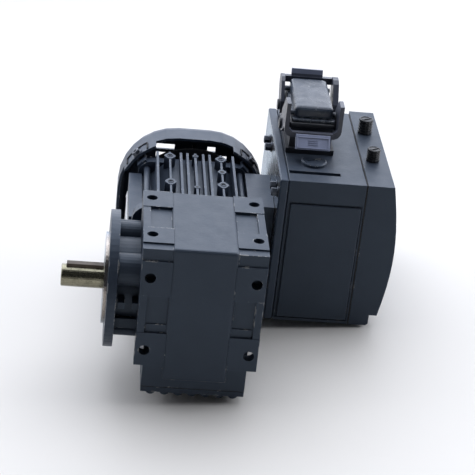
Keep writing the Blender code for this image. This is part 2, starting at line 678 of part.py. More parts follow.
def box_body():
    item = soften(box(BODY_X, BOX_Y, BOX_Z), 0.6)
    around = (PANEL_X[0] - 2, PANEL_X[1] + 1), (PANEL_Z[0] - 1, PANEL_Z[1] + 2)
    cut(item, box(around[0], (BOX_Y[0] - BEYOND, BOX_Y[0] + 1.5), around[1]))
    join(item, soften(box(PANEL_X, (BOX_Y[0] - 0.8, BOX_Y[0] + 3), PANEL_Z), 0.8))
    cut(item, box(GROOVE_X, GROOVE_Y, (BOX_Z[1] - GROOVE_DEPTH, BOX_Z[1] + BEYOND)))
    cut(item, box((BODY_X[0] - BEYOND, BODY_X[1] + BEYOND), *inside_walls()))
    roof = (BOX_Z[1] - 14, BOX_Z[1] + 6)
    cut(item, box(about(CONN_X, 15), (CONN_Y[0] + 12, CONN_Y[1] - 12), roof))
    cut(item, rod("Z", PLUG, PLUG_STEM_R + 0.4, *roof, 24))
    as_part(item, "box_body")
    gasket = box((BODY_X[1] + GAP, BODY_X[1] + GAP + GASKET_T), BOX_Y, BOX_Z)
    cut(gasket, box((BODY_X[1] - BEYOND, BODY_X[1] + 2 * BEYOND), *inside_walls()))
    as_part(gasket, "box_gasket", DARK, 0.8)


def cover_outline(left, inset):
    """Cover section: a flat joint side and an outer side that bulges in the middle."""
    low, high = BOX_Z[0] + inset, BOX_Z[1] - inset
    step_z = low + COVER_FOOT
    foot = COVER_EDGE - inset - 5
    points = [(left, low), (foot - 2, low), (foot, low + 2), (foot, step_z)]
    for step in range(13):
        z = step_z + (high - step_z) * step / 12
        points.append((COVER_EDGE - inset + BULGE * math.cos(math.pi * (z - BULGE_Z) / BULGE_SPAN), z))
    return points + [(left, high)]


def box_cover():
    left, top = BODY_X[1] + GASKET_T + 2 * GAP, BOX_Z[1]
    item = plate("Y", cover_outline(left, 0), BOX_Y[0], BOX_Y[1] + 6)
    cut(item, plate("Y", cover_outline(left - 3, BOX_WALL), BOX_Y[0] + BOX_WALL, BOX_Y[1] - 1))
    cut(item, gather([rod("Z", (x, y), 3.4, top - 14, top + 6, 12) for x, y, _, _ in KNOBS]))
    as_part(item, "box_cover", (0.13, 0.15, 0.19), 0.45)
    stem = 3
    for number, (x, y, radius, tall) in enumerate(KNOBS, 1):
        profile = [(0, top + tall), (radius - 1.5, top + tall), (radius, top + tall - 1.5),
                   (radius, top + GAP), (stem, top + GAP), (stem, top - 7), (0, top - 7)]
        as_part(turned("Z", (x, y), profile, 24), f"screw_cap_{number}", DARK, 0.5)


def circuit_board():
    board = box(BOARD_X, BOARD_Y, BOARD_Z)
    studs = [rod("X", (y, z), 4, PLATE_X[1] + GAP, BOARD_X[0] + 0.5, 12)
             for y in (BOARD_Y[0] + 6, BOARD_Y[1] - 6) for z in (BOARD_Z[0] + 6, BOARD_Z[1] - 6)]
    join(board, gather(studs))
    as_part(board, "circuit_board", (0.02, 0.12, 0.05))
    near, far = BOARD_X[1] + GAP, 232
    block = box((near, far), BLOCK_Y, BLOCK_Z)
    well_z = (BLOCK_Z[0] + 4, BLOCK_Z[1] - 4)
    cut(block, gather([box((far - 7, far + 3), (y, y + 6), well_z) for y in range(94, 156, 10)]))
    as_part(block, "terminal_block", PALE_PLASTIC)


def blind_plug():
    top = BOX_Z[1]
    profile = [(0, top + 3.3), (PLUG_R - 1.2, top + 3.3), (PLUG_R, top + 2.3), (PLUG_R, top + GAP),
               (PLUG_STEM_R, top + GAP), (PLUG_STEM_R, top - 8), (0, top - 8)]
    plug = turned("Z", PLUG, profile, 32)
    slot = box(about(0, 8), about(0, 1), (top + 1.6, top + 6))
    slot.data.transform(Matrix.Rotation(math.radians(25), 4, "Z"))
    slot.location = (PLUG[0] * MM, PLUG[1] * MM, slot.location[2])
    cut(plug, slot)
    as_part(plug, "blind_plug", (0.15, 0.17, 0.2), 0.4)


def rating_plate():
    side = MOTOR_X + LABEL_SIDE - GAP
    as_part(box((side - 0.8, side), (70, 141), (-38, 17)), "rating_plate", (0.6, 0.6, 0.6), 0.3, 0.6)


# ---------------------------------------------------------------- connector
def lever_pins():
    """The pins that the levers turn on, each with a collar outside its arm."""
    pins = []
    for place, ((far, _), (_, near)) in ((FRONT_PIVOT, FRONT_ARMS), (REAR_PIVOT, REAR_ARMS)):
        left, right = CONN_X + far - GAP, CONN_X + near + GAP
        for radius, start, end in ((PIN_R, left - 2, CONN_X - 18), (PIN_R, CONN_X + 18, right + 2),
                                   (PIN_R + 2, left - 2, left), (PIN_R + 2, right, right + 2)):
            pins.append(rod("X", place, radius, start, end, 16))
    return pins


def connector_base():
    low, width, length = BOX_Z[1] + GAP, about(CONN_X, CONN_HALF), CONN_Y
    base = box((width[0] + 2, width[1] - 2), (length[0] + 2, length[1] - 2), (low, RIM_Z - 4))
    join(base, soften(box(width, length, (RIM_Z - 6, RIM_Z)), 2))
    join(base, box((width[0] - 1, width[1] + 1), (length[0] - 2, length[1] + 2), (low, low + 5)))
    join(base, *lever_pins())
    cut(base, box((width[0] + 5, width[1] - 5), (length[0] + 6, length[1] - 6), (low + 6, RIM_Z + BEYOND)))
    cut(base, box(about(CONN_X, 14), (length[0] + 12, length[1] - 12), (low - BEYOND, low + 10)))
    as_part(base, "connector_base", (0.05, 0.055, 0.07), 0.45)
    room = (width[0] + 5.5, width[1] - 5.5), (length[0] + 6.5, length[1] - 6.5)
    insert = box(*room, (low + 6 + GAP, RIM_Z - 4))
    contacts = [rod("Z", (CONN_X + x, y), 1.6, RIM_Z - 12, RIM_Z, 10)
                for x in (-8, 0, 8) for y in range(146, 202, 10)]
    cut(insert, gather(contacts))
    as_part(insert, "connector_insert", PALE_PLASTIC)


def connector_hood():
    middle = CONN_X + HOOD_SHIFT
    hood = box(about(middle, HOOD_HALF), (CONN_Y[0] + 5, CONN_Y[1] - 4), (RIM_Z + 1.5, HOOD_Z))
    soften(hood, 4.2, 4)
    brim = box(about(middle, HOOD_HALF + 2.2), (CONN_Y[0] + 2, CONN_Y[1] - 2), (RIM_Z + GAP, RIM_Z + 3))
    join(hood, soften(brim, 1))
    join(hood, gather([rod("X", (y, RIM_Z + 5.5), PEG_R, *about(CONN_X, PEG_REACH), 12) for y in PEGS_Y]))
    as_part(hood, "connector_hood", (0.3, 0.33, 0.37), 0.3)


def lever(name, pivot_place, arms, arm, bar, tab, tab_half):
    """A U-shaped lever: two arms on pins, a crossbar and a finger tab.

    The arm and the tab are side outlines; the bar is a front outline with its start and end in y.
    """
    left, right = arms
    item = plate("X", arm, CONN_X + left[0], CONN_X + left[1])
    join(item, plate("X", arm, CONN_X + right[0], CONN_X + right[1]))
    join(item, plate("Y", *bar))
    join(item, plate("X", tab, *about(CONN_X, tab_half)))
    cut(item, rod("X", pivot_place, PIN_R + GAP, CONN_X + left[0] - BEYOND, CONN_X + right[1] + BEYOND, 16))
    as_part(item, name, (0.11, 0.12, 0.17), 0.4)
    hang(item, pivot(f"{name}_axis", (CONN_X, *pivot_place)))


def bow_outline():
    """Front outline of the front lever's U-shaped crossbar."""
    (outer_l, inner_l), (inner_r, outer_r) = FRONT_ARMS
    tip, shoulder, inner_shoulder, top, bottom = 108, 100, 103.5, 99.6, 94.6
    outer = [(0.3, tip), (0.3, shoulder), (2.5, bottom + 1.8), (6.5, bottom)]
    inner = [(0.3, tip), (0.3, inner_shoulder), (-4, top)]
    points = [(outer_l + step, z) for step, z in outer]
    points += [(outer_r - step, z) for step, z in reversed(outer)]
    points += [(inner_r + step, z) for step, z in inner]
    points += [(inner_l - step, z) for step, z in reversed(inner)]
    return [(CONN_X + x, z) for x, z in points]


def levers():
    arm = [(118, 102), (118, 127.5), (133, 127.5), (155, 106), (155, 91), (146, 88), (130, 98), (123, 102)]
    tab = [(108.2, 87.6), (110, 86.4), (119, 94), (119, 98.6), (117, 98.2)]
    lever("lever_front", FRONT_PIVOT, FRONT_ARMS, arm, (bow_outline(), 118.3, 122.7), tab, 16)
    arm = [(186, 89), (186, 101), (199, 117), (204, 119.5), (212, 119.5), (215.5, 118), (217, 114.5),
           (217, 109), (203, 89)]
    low, high = CONN_X + REAR_ARMS[0][0] + 0.3, CONN_X + REAR_ARMS[1][1] - 0.3
    bar = [(low, 111), (high, 111), (high, 117.3), (low, 117.3)]
    tab = [(212.6, 116.5), (216.2, 116.5), (218.6, 123.2), (215.4, 124)]
    lever("lever_rear", REAR_PIVOT, REAR_ARMS, arm, (bar, 212, 216.6), tab, 15)


def build_gear_unit():
    gear_housing()
    bottom_cover()
    flange()
    end_cap()
    ring("output_bearing_front", "X", (0, 0), (CORE_R + GAP, BEARING_R), 52, 66)
    ring("output_bearing_rear", "X", (0, 0), (SHAFT_R + GAP, BEARING_R), 155, 167)
    holder = pivot("output_axis", (0, 0, 0))
    output_shaft(holder)
    crown_wheel(holder)


def build_motor():
    holder = pivot("motor_axis", (MOTOR_X, 0, MOTOR_Z))
    motor_shaft(holder)
    fan(holder)
    front_plate()
    motor_housing()
    stator()
    end_shield()
    for name, start in (("motor_bearing_front", 51), ("motor_bearing_rear", 158)):
        ring(name, "Y", AXIS, (MOTOR_SHAFT_R + GAP, MOTOR_BEARING_R), start, start + 8)
    tie_rods()
    cowl()
    rating_plate()


def build_box():
    box_plate()
    box_body()
    box_cover()
    circuit_board()
    blind_plug()
    connector_base()
    connector_hood()
    levers()


clear_scene()
parts = make_collection("gearmotor")
cutters = make_collection("cutters")
build_gear_unit()
build_motor()
build_box()
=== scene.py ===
"""The looks of a right-angle gearmotor with a finned motor and an electronics box.

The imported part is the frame. This script gives every node its finish, adds the small pieces that only
the eye needs, and sets the floor, the light and the camera. Sizes of the small pieces are millimetres,
turned into metres by MM.
"""
import math

import bmesh
import bpy
from mathutils import Matrix, Vector


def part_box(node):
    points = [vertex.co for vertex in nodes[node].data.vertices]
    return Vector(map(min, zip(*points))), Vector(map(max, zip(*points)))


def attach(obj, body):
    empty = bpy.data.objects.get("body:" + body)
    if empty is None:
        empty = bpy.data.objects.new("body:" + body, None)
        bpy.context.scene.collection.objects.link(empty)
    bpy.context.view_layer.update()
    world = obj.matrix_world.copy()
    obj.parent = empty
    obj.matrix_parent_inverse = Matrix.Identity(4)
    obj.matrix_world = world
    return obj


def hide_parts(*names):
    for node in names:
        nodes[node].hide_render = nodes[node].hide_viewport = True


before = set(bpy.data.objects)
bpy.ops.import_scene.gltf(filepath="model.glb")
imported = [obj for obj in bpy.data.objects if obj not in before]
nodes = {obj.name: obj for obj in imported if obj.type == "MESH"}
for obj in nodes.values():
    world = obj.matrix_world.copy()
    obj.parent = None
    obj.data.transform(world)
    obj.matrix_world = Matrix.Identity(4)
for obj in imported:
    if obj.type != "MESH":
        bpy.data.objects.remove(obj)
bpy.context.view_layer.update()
MM = 0.001
SHARP_ANGLE = 35                            # degrees: edges sharper than this are bevelled


# ---------------------------------------------------------------- node helpers
def set_range(item, numbers):
    """Set a Map Range node: from low, from high, to low, to high."""
    for key, number in zip(("From Min", "From Max", "To Min", "To Max"), numbers):
        item.inputs[key].default_value = number


class Graph:
    """Small helper around one material's node tree."""

    def __init__(self, name):
        self.material = bpy.data.materials.new(name)
        self.material.use_nodes = True
        self.tree = self.material.node_tree
        self.shader = self.tree.nodes["Principled BSDF"]
        self.place = self.node("ShaderNodeTexCoord").outputs["Object"]

    def node(self, kind, **values):
        item = self.tree.nodes.new(kind)
        for key, value in values.items():
            setattr(item, key, value)
        return item

    def link(self, source, target):
        if isinstance(source, (int, float)):
            target.default_value = source
        elif isinstance(source, (tuple, list)):
            target.default_value = (*source, 1.0)[:4] if len(target.default_value) == 4 else source
        else:
            self.tree.links.new(source, target)

    def math(self, operation, first, second):
        item = self.node("ShaderNodeMath", operation=operation)
        self.link(first, item.inputs[0])
        self.link(second, item.inputs[1])
        return item.outputs[0]

    def noise(self, scale, detail, rough=0.55, stretch=(1, 1, 1), shift=(0, 0, 0)):
        """Fractal noise fixed to the piece, with its own scale and shift along each axis."""
        spread = self.node("ShaderNodeMapping")
        self.link(self.place, spread.inputs["Vector"])
        spread.inputs["Scale"].default_value = stretch
        spread.inputs["Location"].default_value = shift
        item = self.node("ShaderNodeTexNoise")
        self.link(spread.outputs[0], item.inputs["Vector"])
        item.inputs["Scale"].default_value = scale
        item.inputs["Detail"].default_value = detail
        item.inputs["Roughness"].default_value = rough
        return item.outputs["Fac"]

    def span(self, value, low, high, to_low=0.0, to_high=1.0):
        """Map low..high to to_low..to_high, and hold the value at both ends."""
        item = self.node("ShaderNodeMapRange", clamp=True)
        self.link(value, item.inputs["Value"])
        set_range(item, (low, high, to_low, to_high))
        return item.outputs[0]

    def mix(self, amount, first, second):
        item = self.node("ShaderNodeMix", data_type="RGBA")
        self.link(amount, item.inputs[0])
        self.link(first, item.inputs[6])
        self.link(second, item.inputs[7])
        return item.outputs[2]

    def bump(self, height, distance, below=None):
        """Surface relief that is distance metres high, laid over the relief below."""
        item = self.node("ShaderNodeBump")
        item.inputs["Distance"].default_value = distance
        self.link(height, item.inputs["Height"])
        if below is not None:
            self.link(below, item.inputs["Normal"])
        return item.outputs[0]

    def edges(self, radius):
        """1 on sharp outside edges within the radius, 0 on flat faces."""
        bevel = self.node("ShaderNodeBevel", samples=6)
        bevel.inputs["Radius"].default_value = radius
        solid = self.node("ShaderNodeNewGeometry").outputs["Normal"]
        dot = self.node("ShaderNodeVectorMath", operation="DOT_PRODUCT")
        self.link(bevel.outputs[0], dot.inputs[0])
        self.link(solid, dot.inputs[1])
        return self.span(dot.outputs["Value"], 0.985, 0.85)

    def below(self, axis, limit):
        """1 where the surface lies below the limit along an axis, in metres."""
        parts = self.node("ShaderNodeSeparateXYZ")
        self.link(self.place, parts.inputs[0])
        return self.math("LESS_THAN", parts.outputs[axis], limit)

    def between(self, axis, low, high):
        """1 where the surface lies between two places along an axis, in metres."""
        return self.math("SUBTRACT", self.below(axis, high), self.below(axis, low))

    def facing_up(self):
        """0 on upright sides, 1 on faces that look straight up."""
        parts = self.node("ShaderNodeSeparateXYZ")
        self.link(self.node("ShaderNodeNewGeometry").outputs["Normal"], parts.inputs[0])
        return self.span(parts.outputs["Z"], 0.2, 1.0)

    def finish(self, colour, roughness, normal, metallic=0.0):
        self.link(colour, self.shader.inputs["Base Color"])
        self.link(roughness, self.shader.inputs["Roughness"])
        self.link(metallic, self.shader.inputs["Metallic"])
        self.link(normal, self.shader.inputs["Normal"])
        return self.material


def tint(colour, factor):
    return tuple(min(1.0, value * factor) for value in colour)


DUST = (0.42, 0.42, 0.42)
CHIPPED = (0.6, 0.59, 0.56)                 # metal that shows where the paint has chipped
MACHINED = ((0.31, 0.28, 0.25), (0.45, 0.405, 0.365))
NICKED = (0.55, 0.57, 0.6)                  # bright scratches on the connector's hood
PAINT_IOR, PAINT_SHEEN, HOOD_IOR = 1.38, (0.72, 0.85, 1.0, 1.0), 1.42


def paint(name, colour, rough=0.42, grain=0.00008, chips=0.6, bare=None):
    """Sprayed paint on a casting: faint mottling, orange peel, fine dust on top and chipped edges.

    bare is (axis, limit): what lies below the limit is machined and unpainted.
    """
    g = Graph(name)
    patches = g.span(g.noise(28, 4), 0.3, 0.7)
    base = g.mix(patches, tint(colour, 0.94), tint(colour, 1.06))
    specks = g.span(g.noise(2600, 1), 0.66, 0.74)
    base = g.mix(g.math("MULTIPLY", specks, 0.35), base, tint(colour, 1.9))
    dust = g.math("MULTIPLY", g.facing_up(), g.span(g.noise(60, 5, 0.7), 0.35, 0.8, 0.0, 0.06))
    base = g.mix(dust, base, DUST)
    worn = g.edges(0.0016)
    rub = g.math("MULTIPLY", worn, g.span(g.noise(70, 5, 0.7), 0.4, 0.65))
    base = g.mix(g.math("MULTIPLY", rub, 0.5 * chips), base, tint(colour, 3.2))
    chip = g.math("MULTIPLY", worn, g.span(g.noise(75, 6, 0.75, shift=(3, 1, 7)), 0.57, 0.585))
    base = g.mix(g.math("MULTIPLY", chip, chips), base, CHIPPED)
    roughness = g.span(g.noise(75, 4, shift=(5, 5, 5)), 0.3, 0.7, rough - 0.03, rough + 0.05)
    metallic = 0.0
    if bare:
        metallic = g.below(*bare)
        lines = g.noise(700, 3, 0.6, (1, 0.1, 3))
        base = g.mix(metallic, base, g.mix(lines, *MACHINED))
        roughness = g.math("SUBTRACT", roughness, g.math("MULTIPLY", metallic, 0.16))
    peel = g.bump(g.noise(420, 2), grain)
    cast = g.bump(g.noise(1500, 3), grain * 0.5, below=peel)
    g.shader.inputs["IOR"].default_value = PAINT_IOR
    g.shader.inputs["Specular Tint"].default_value = PAINT_SHEEN
    return g.finish(base, roughness, cast, metallic)


def steel(name, colour, rough, stretch=(1, 1, 1), lines=900, stain=0.4):
    """Machined steel: fine tool lines, faint stains and uneven polish."""
    g = Graph(name)
    tool = g.noise(lines, 3, 0.6, stretch)
    marks = g.span(g.noise(110, 5, 0.7), 0.42, 0.75)
    base = g.mix(g.span(tool, 0.3, 0.7), tint(colour, 0.82), tint(colour, 1.12))
    base = g.mix(g.math("MULTIPLY", marks, stain), base, tint(colour, 0.4))
    polish = g.span(tool, 0.3, 0.7, rough - 0.06, rough + 0.08)
    roughness = g.math("ADD", polish, g.math("MULTIPLY", marks, 0.15))
    return g.finish(base, roughness, g.bump(tool, 0.00003), 1.0)


def plastic(name, colour, rough, grain=0.00006, scuffs=0.4, scale=1800, pale=None):
    """Moulded plastic: fine sparked grain, soft colour drift and pale scuffs on the edges.

    pale is (axis, low, high, factor): the stretch between them is that much lighter, a painted reflection
    where the glossy face catches the studio's light.
    """
    g = Graph(name)
    base = g.mix(g.span(g.noise(40, 3), 0.3, 0.7), tint(colour, 0.85), tint(colour, 1.15))
    if pale:
        *place, factor = pale
        # painted reflection: this stretch is coloured lighter, as if its glossy face caught the studio's
        # light
        painted_sheen = g.mix(g.noise(90, 4), tint(colour, 0.8 * factor), tint(colour, 1.2 * factor))
        base = g.mix(g.between(*place), base, painted_sheen)
    rub = g.math("MULTIPLY", g.edges(0.0009), g.span(g.noise(210, 5, 0.7), 0.4, 0.65, 0.0, scuffs))
    base = g.mix(rub, base, tuple(min(1.0, 0.12 + value * 2.2) for value in colour))
    roughness = g.span(g.noise(160, 4), 0.3, 0.7, rough - 0.06, rough + 0.1)
    return g.finish(base, roughness, g.bump(g.noise(scale, 2), grain))


def worn_hood(name, colour, rough):
    """Glossy moulding with shallow dents, scraped rims and a few bright nicks."""
    g = Graph(name)
    base = g.mix(g.span(g.noise(30, 3), 0.3, 0.7), tint(colour, 0.85), tint(colour, 1.15))
    film = g.span(g.noise(80, 4, 0.6, shift=(2, 8, 1)), 0.5, 0.75, 0.0, 0.35)
    base = g.mix(film, base, tint(colour, 1.9))
    nicks = g.span(g.noise(330, 3, 0.6, shift=(4, 4, 9)), 0.71, 0.74)
    scraped = g.math("MULTIPLY", g.edges(0.003), g.span(g.noise(170, 5, 0.75), 0.48, 0.56))
    base = g.mix(g.math("MAXIMUM", nicks, g.math("MULTIPLY", scraped, 0.5)), base, NICKED)
    roughness = g.span(g.noise(120, 4), 0.3, 0.7, rough - 0.1, rough + 0.14)
    dents = g.bump(g.noise(110, 2), 0.00025)
    g.shader.inputs["IOR"].default_value = HOOD_IOR
    return g.finish(base, roughness, g.bump(g.noise(900, 2), 0.00008, below=dents))


# ---------------------------------------------------------------- mesh helpers
def put(name, data):
    """Make an object and link it to the scene."""
    item = bpy.data.objects.new(name, data)
    bpy.context.scene.collection.objects.link(item)
    return item


def add(name, mesh, body, material, bevel=0.0, replaces=()):
    """Add a shown piece that rides on a body, in the slot's material row, with bevelled edges."""
    item = put(name, mesh)
    mesh.materials.append(material)
    round_edges(item, bevel, 1)
    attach(item, body)
    if replaces:
        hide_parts(*replaces)


def round_edges(item, width, segments):
    """Bevel the sharp edges of a shown mesh, width in millimetres."""
    if width:
        edge = item.modifiers.new("Edges", "BEVEL")
        edge.width = width * MM
        edge.segments = segments
        edge.limit_method = "ANGLE"
        edge.angle_limit = math.radians(SHARP_ANGLE)
        edge.miter_outer = "MITER_ARC"


# ---------------------------------------------------------------- finishes
GREY = (0.031, 0.041, 0.059)
BLUE_GREY = (0.040, 0.053, 0.077)
LEVER_GREY = (0.053, 0.059, 0.082)
FRONT_TAB_SHEEN = ("Y", 0.0, 0.1178, 4.8)         # the levers' finger tabs: axis, from, to, how much lighter; the lighter colour is a painted reflection on their glossy faces
REAR_TAB_SHEEN = ("Z", 0.1197, 0.2, 3.2)

FINISH = {
    "gear_housing": paint("gear_paint", GREY),
    "bottom_cover": paint("cover_paint", GREY, 0.5),
    "bottom_gasket": plastic("gasket_fibre", (0.02, 0.02, 0.02), 0.8, 0.0001, 0.1, 900),
    "output_flange": paint("flange_paint", GREY, 0.38, bare=("X", 0.0399)),
    "shaft_seal": plastic("seal_rubber", (0.02, 0.02, 0.022), 0.6),
    "end_cap": paint("cap_paint", GREY, 0.45),
    "output_shaft": steel("shaft_steel", (0.27, 0.255, 0.185), 0.2, (0.1, 3, 3), 260, 0.8),
    "shaft_key": steel("key_steel", (0.075, 0.062, 0.052), 0.42, (0.2, 4, 4), 900),
    "motor_housing": paint("motor_paint", BLUE_GREY, 0.4, chips=0.35),
    "motor_front_plate": paint("plate_paint", BLUE_GREY, 0.42),
    "rear_end_shield": paint("shield_paint", BLUE_GREY, 0.45),
    "fan_cowl": paint("cowl_paint", (0.039, 0.051, 0.075), 0.42, 0.00006),
    "fan": plastic("fan_plastic", (0.02, 0.02, 0.02), 0.5),
    "rating_plate": steel("label_metal", (0.5, 0.5, 0.5), 0.35, (1, 0.1, 4), 700, 0.2),
    "box_plate": paint("box_plate_paint", BLUE_GREY, 0.42, bare=("X", 0.1897)),
    "box_body": paint("box_paint", GREY, 0.42, chips=0.15),
    "box_gasket": plastic("box_gasket_rubber", (0.012, 0.012, 0.014), 0.7, scuffs=0.0),
    "box_cover": paint("box_cover_paint", GREY, 0.44, chips=0.4),
    "blind_plug": paint("plug_paint", GREY, 0.4),
    "circuit_board": plastic("board_laminate", (0.01, 0.1, 0.04), 0.45),
    "terminal_block": plastic("terminal_plastic", (0.35, 0.35, 0.33), 0.45),
    "connector_base": plastic("connector_plastic", (0.025, 0.028, 0.036), 0.42),
    "connector_insert": plastic("insert_plastic", (0.35, 0.35, 0.34), 0.45),
    "connector_hood": worn_hood("hood_moulding", (0.04, 0.052, 0.073), 0.3),
    # the finger tabs carry a painted reflection: a lighter stretch of the same plastic
    "lever_front": plastic("front_lever_plastic", LEVER_GREY, 0.36, pale=FRONT_TAB_SHEEN),
    "lever_rear": plastic("rear_lever_plastic", LEVER_GREY, 0.36, pale=REAR_TAB_SHEEN),
    "rotor_core": steel("rotor_steel", (0.3, 0.3, 0.3), 0.45),
    "stator_core": steel("stator_steel", (0.26, 0.26, 0.26), 0.5),
}
# finishes shared by nodes whose names start alike; the last one takes every other node
SHARED = {"tie_rod": paint("rod_paint", BLUE_GREY, 0.36, chips=0.3),
          "plate_screw": steel("black_screw", (0.09, 0.1, 0.12), 0.34),
          "cowl_screw": steel("dark_screw", (0.1, 0.11, 0.13), 0.36),
          "screw_cap": plastic("cap_plastic", (0.015, 0.016, 0.019), 0.42),
          "winding_head": plastic("winding_lacquer", (0.3, 0.09, 0.03), 0.3),
          "": steel("plain_steel", (0.42, 0.42, 0.42), 0.34)}
# width of the bevel on a node's edges, in millimetres
BEVEL = {"gear_housing": 0.9, "bottom_cover": 0.5, "output_flange": 0.5, "end_cap": 0.6,
         "motor_housing": 0.35, "motor_front_plate": 0.8, "rear_end_shield": 0.8, "fan_cowl": 0.3,
         "box_plate": 0.4, "box_body": 0.5, "box_cover": 1.2, "connector_base": 0.7, "lever_front": 0.8,
         "lever_rear": 0.8, "shaft_key": 0.3, "rating_plate": 0.1}

for name, node in nodes.items():
    material = FINISH.get(name) or next(mat for start, mat in SHARED.items() if name.startswith(start))
    node.data.materials.clear()
    node.data.materials.append(material)
    round_edges(node, BEVEL.get(name, 0.0), 2)


# ---------------------------------------------------------------- small pieces
MOTOR = Vector((117, 0, -11))               # a point on the motor's axis
FLAT_REACH = 0.866                          # cosine of 30 degrees: a hexagon's flat against its corner
COWL_HEAD = (4.3, 4.1, 5.0)                 # radius and height of a screw's head, radius of its washer
PLATE_HEAD = (4.0, 6.2, 4.9)
COWL_SCREW_Y, PLATE_SCREW_X = 170, 189.4    # where the heads stand
SMALL_BEVEL = 0.12
HEX_SIDES, CAP_SIDES, CAP_RIBS = 24, 48, 4
COWL_HALF, COWL_ROUND = 70, 55              # the cowl's half width and the radius of its corners
PAD_TOP = 64.05                             # top of the pads on the fins, from the motor's axis
RING_PADS = ((-24, 93), (-24, 149), (24, 93), (24, 149))
DISC_PADS = ((24, 121, 1.9), (0, 85, 1.4), (0, 152, 1.4))   # x, y, radius
BOX_TOP = 74
BAR_TURN = 0.6                              # radians: how the bar on a screw cap is turned
CLIP_Y, CLIP_ANGLES = (168, 181), (33, 60)  # reach of the slits in the cowl's corner tabs
TAB_FOOT = Vector((220.5, 108.6, 88.4))     # middle of the front lever's tab at its lower edge
TAB_UP = Vector((0, 8.8, 10.9)).normalized()
TAB_HALF, TAB_SPAN = 14.5, (0.4, 10.6)      # half width and reach of the frame on that tab
TAB_LINES, LINE_STEPS = (3.6, 5.6, 7.6), (-4.5, -2, 0, 2, 4.5)


def skin(shape, rings, closed=False):
    """Add the faces between rings of vertices, with end faces unless the last ring meets the first."""
    sides = len(rings[0])
    for low, high in list(zip(rings, rings[1:])) + ([(rings[-1], rings[0])] if closed else []):
        for step in range(sides):
            after = (step + 1) % sides
            shape.faces.new((low[step], low[after], high[after], high[step]))
    if not closed:
        shape.faces.new(list(reversed(rings[0])))
        shape.faces.new(rings[-1])


def lathe(shape, profile, centre, along, sides, ripple=None):
    """Add a closed turned body to a bmesh: profile is (radius, position) pairs, ripple changes a radius."""
    axis = Vector(along).normalized()
    first = axis.orthogonal().normalized()
    second = axis.cross(first)
    rings = []
    for radius, place in profile:
        ring = []
        for step in range(sides):
            angle = 2 * math.pi * step / sides
            reach = radius * (ripple(step) if ripple else 1.0)
            offset = first * (reach * math.cos(angle)) + second * (reach * math.sin(angle))
            ring.append(shape.verts.new((Vector(centre) + offset + axis * place) * MM))
        rings.append(ring)
    skin(shape, rings)


def slab(shape, centre, size, turn):
    """Add a turned box of a given size in millimetres to a bmesh."""
    for corner in bmesh.ops.create_cube(shape, size=1.0)["verts"]:
        corner.co = (turn @ Vector(corner.co[k] * size[k] for k in range(3)) + centre) * MM


def tube(shape, points, radius, sides, closed=False):
    """Add a thin bead that follows points in millimetres."""
    points = [Vector(point) for point in points]
    rings = []
    count = len(points)
    for index, point in enumerate(points):
        before = points[index - 1] if index or closed else point
        after = points[(index + 1) % count] if index < count - 1 or closed else point
        way = (after - before).normalized()
        first = way.orthogonal().normalized() if not rings else (side - way * side.dot(way)).normalized()
        side = first
        second = way.cross(first)
        rings.append([shape.verts.new((point + first * radius * math.cos(2 * math.pi * step / sides)
                                       + second * radius * math.sin(2 * math.pi * step / sides)) * MM)
                      for step in range(sides)])
    skin(shape, rings, closed)


def as_mesh(shape, name):
    """Turn a bmesh into a mesh with its normals outwards."""
    bmesh.ops.recalc_face_normals(shape, faces=shape.faces)
    mesh = bpy.data.meshes.new(name)
    shape.to_mesh(mesh)
    shape.free()
    return mesh


def hexagon(step):
    """Ripple that turns a ring of HEX_SIDES sides into a hexagon."""
    angle = (step % 4) * math.pi / 12
    return FLAT_REACH / math.cos(angle - math.pi / 6)


def ribbed(step):
    """Ripple that cuts a groove after every second step around a ring."""
    return 1.0 if step % 4 < 2 else 0.965


def hex_screw(name, centre, outward, sizes, material):
    """A hexagon head on a washer, with a turned crown and a socket, in place of a plain CAD screw."""
    radius, height, washer = sizes
    shape = bmesh.new()
    lathe(shape, [(washer - 0.2, 0), (washer, 0.2), (washer, 0.8), (washer - 0.3, 1.0)], centre, outward,
          HEX_SIDES)
    crown = [(radius * 0.98, 1.05), (radius, 1.25), (radius, height - 0.5), (radius * 0.9, height),
             (radius * 0.5, height), (radius * 0.46, height - 1.4)]
    lathe(shape, crown, centre, outward, HEX_SIDES, hexagon)
    add(f"{name}_head", as_mesh(shape, name), "frame", material, SMALL_BEVEL, replaces=(name,))


def make_screws():
    """Heads that replace the plain CAD screws: four on the cowl and four on the box plate."""
    seat = (COWL_HALF - COWL_ROUND) * math.sqrt(2) + COWL_ROUND - 0.15
    for quarter in range(4):
        angle = math.pi / 4 + quarter * math.pi / 2
        way = Vector((math.cos(angle), 0, -math.sin(angle)))
        hex_screw(f"cowl_screw_{quarter + 1}", MOTOR + way * seat + Vector((0, COWL_SCREW_Y, 0)), way,
                  COWL_HEAD, SHARED["cowl_screw"])
    for number in range(1, 5):
        low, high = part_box(f"plate_screw_{number}")
        middle = (low + high) / 2 / MM
        hex_screw(f"plate_screw_{number}", (PLATE_SCREW_X, middle.y, middle.z), (-1, 0, 0),
                  PLATE_HEAD, SHARED["plate_screw"])


